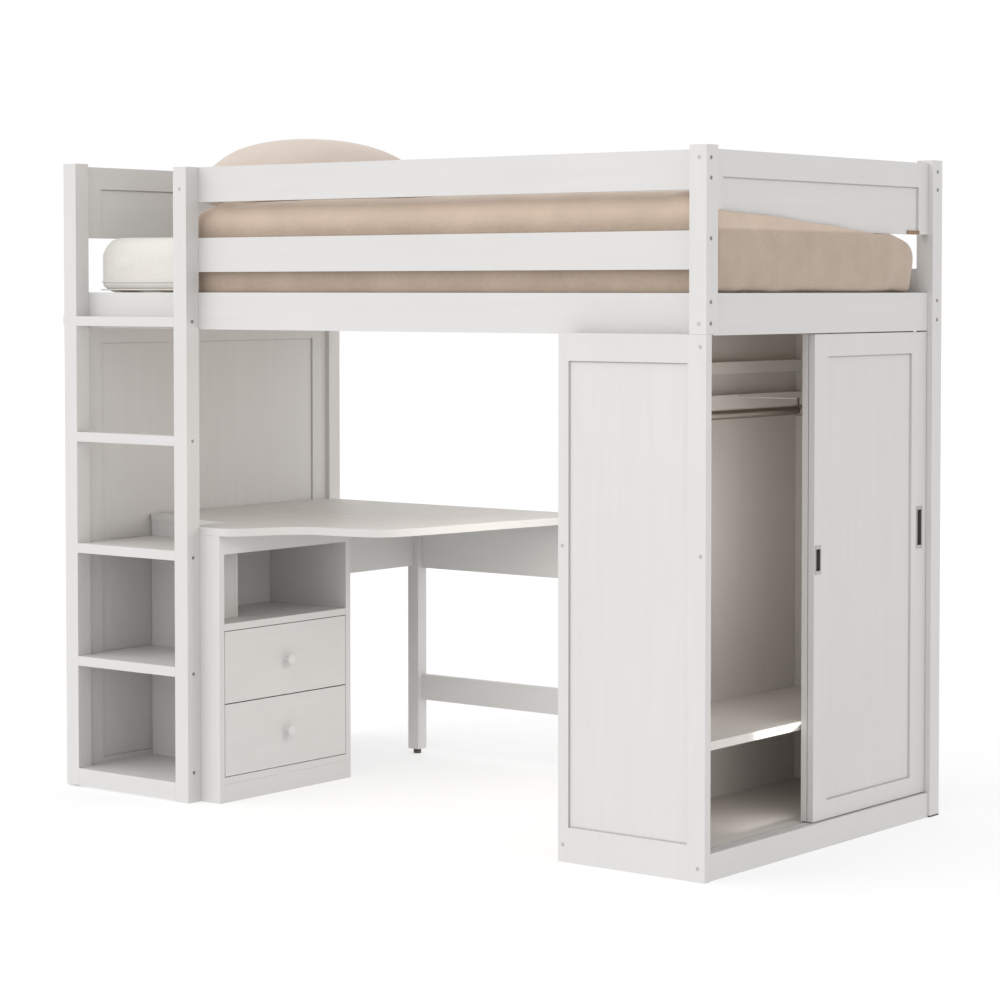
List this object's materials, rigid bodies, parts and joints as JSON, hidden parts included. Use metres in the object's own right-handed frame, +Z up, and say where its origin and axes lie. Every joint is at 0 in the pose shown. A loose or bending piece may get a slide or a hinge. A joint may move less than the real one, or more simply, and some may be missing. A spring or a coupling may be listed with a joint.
{
  "type": "loft bed with desk",
  "caption": "Raised single bed on square posts with a ladder bookcase, curved desk with drawer pedestal, sliding-door wardrobe, mattress and bedding.",
  "frame": {"origin": "on the floor, under the middle of the whole object", "axes": "+X along the bed to the wardrobe end, +Y to the back, away from the ladder, +Z up"},
  "size_m": [2.072, 1.06, 1.732],
  "materials": {
    "white_paint": "satin off-white paint on wood",
    "raw_block": "raw brown wood",
    "slat_wood": "clear pine",
    "tray_wood": "clear plywood",
    "dark_rod": "dark satin metal",
    "satin_metal": "satin metal",
    "bolt_metal": "satin bolt heads",
    "ticking": "white woven mattress cover",
    "tan_fabric": "tan brushed cotton",
    "pale_fabric": "pale tan cotton"
  },
  "bodies": {
    "frame": {"post_front_left": "white_paint", "post_ladder": "white_paint", "post_front_right": "white_paint", "post_back_right": "white_paint", "post_back_left": "white_paint", "side_rail_front": "white_paint", "side_rail_back": "white_paint", "guard_rail_front_upper": "white_paint", "guard_rail_front_lower": "white_paint", "guard_rail_back": "white_paint", "end_rail_right": "white_paint", "end_rail_left": "white_paint", "headboard": "white_paint", "footboard": "white_paint", "left_end_panel": "white_paint", "ladder_rung_1": "white_paint", "ladder_rung_2": "white_paint", "bookcase_shelf_1": "white_paint", "bookcase_shelf_2": "white_paint", "bookcase_shelf_3": "white_paint", "bookcase_side": "white_paint", "bookcase_back": "white_paint", "pedestal_side_front": "white_paint", "pedestal_side_back": "white_paint", "pedestal_back": "white_paint", "pedestal_bottom": "white_paint", "cubby_shelf": "white_paint", "pedestal_top_rail": "white_paint", "pedestal_plinth": "white_paint", "desktop": "white_paint", "desk_leg_left": "white_paint", "desk_leg_right": "white_paint", "desk_apron_back": "white_paint", "desk_stretcher": "white_paint", "desk_apron_left": "white_paint", "wardrobe_front": "white_paint", "wardrobe_side": "white_paint", "wardrobe_back": "white_paint", "wardrobe_floor": "white_paint", "wardrobe_shelf": "white_paint", "wall_rail_upper": "white_paint", "wall_rail_lower": "white_paint", "door_track": "white_paint", "door_head_track": "white_paint", "footboard_block": "raw_block", "slat_roll": "slat_wood", "clothes_rod": "dark_rod", "mattress": "ticking", "bedspread": "tan_fabric", "pillow": "pale_fabric"},
    "upper_drawer": {"drawer_front_upper": "white_paint", "drawer_box_upper": "tray_wood", "drawer_knob_upper": "white_paint"},
    "lower_drawer": {"drawer_front_lower": "white_paint", "drawer_box_lower": "tray_wood", "drawer_knob_lower": "white_paint"},
    "outer_door": {"door_outer": "white_paint", "door_pull_front": "satin_metal", "door_pull_back": "satin_metal"},
    "inner_door": {"door_inner": "white_paint"}
  },
  "joints": [
    {"name": "upper_drawer_slide", "type": "slide", "parent": "frame", "child": "upper_drawer", "axis": [1, 0, 0], "range_m": [0, 0.2]},
    {"name": "lower_drawer_slide", "type": "slide", "parent": "frame", "child": "lower_drawer", "axis": [1, 0, 0], "range_m": [0, 0.2]},
    {"name": "outer_door_slide", "type": "slide", "parent": "frame", "child": "outer_door", "axis": [0, 1, 0], "range_m": [-0.459, 0]},
    {"name": "inner_door_slide", "type": "slide", "parent": "frame", "child": "inner_door", "axis": [0, 1, 0], "range_m": [-0.459, 0]}
  ]
}
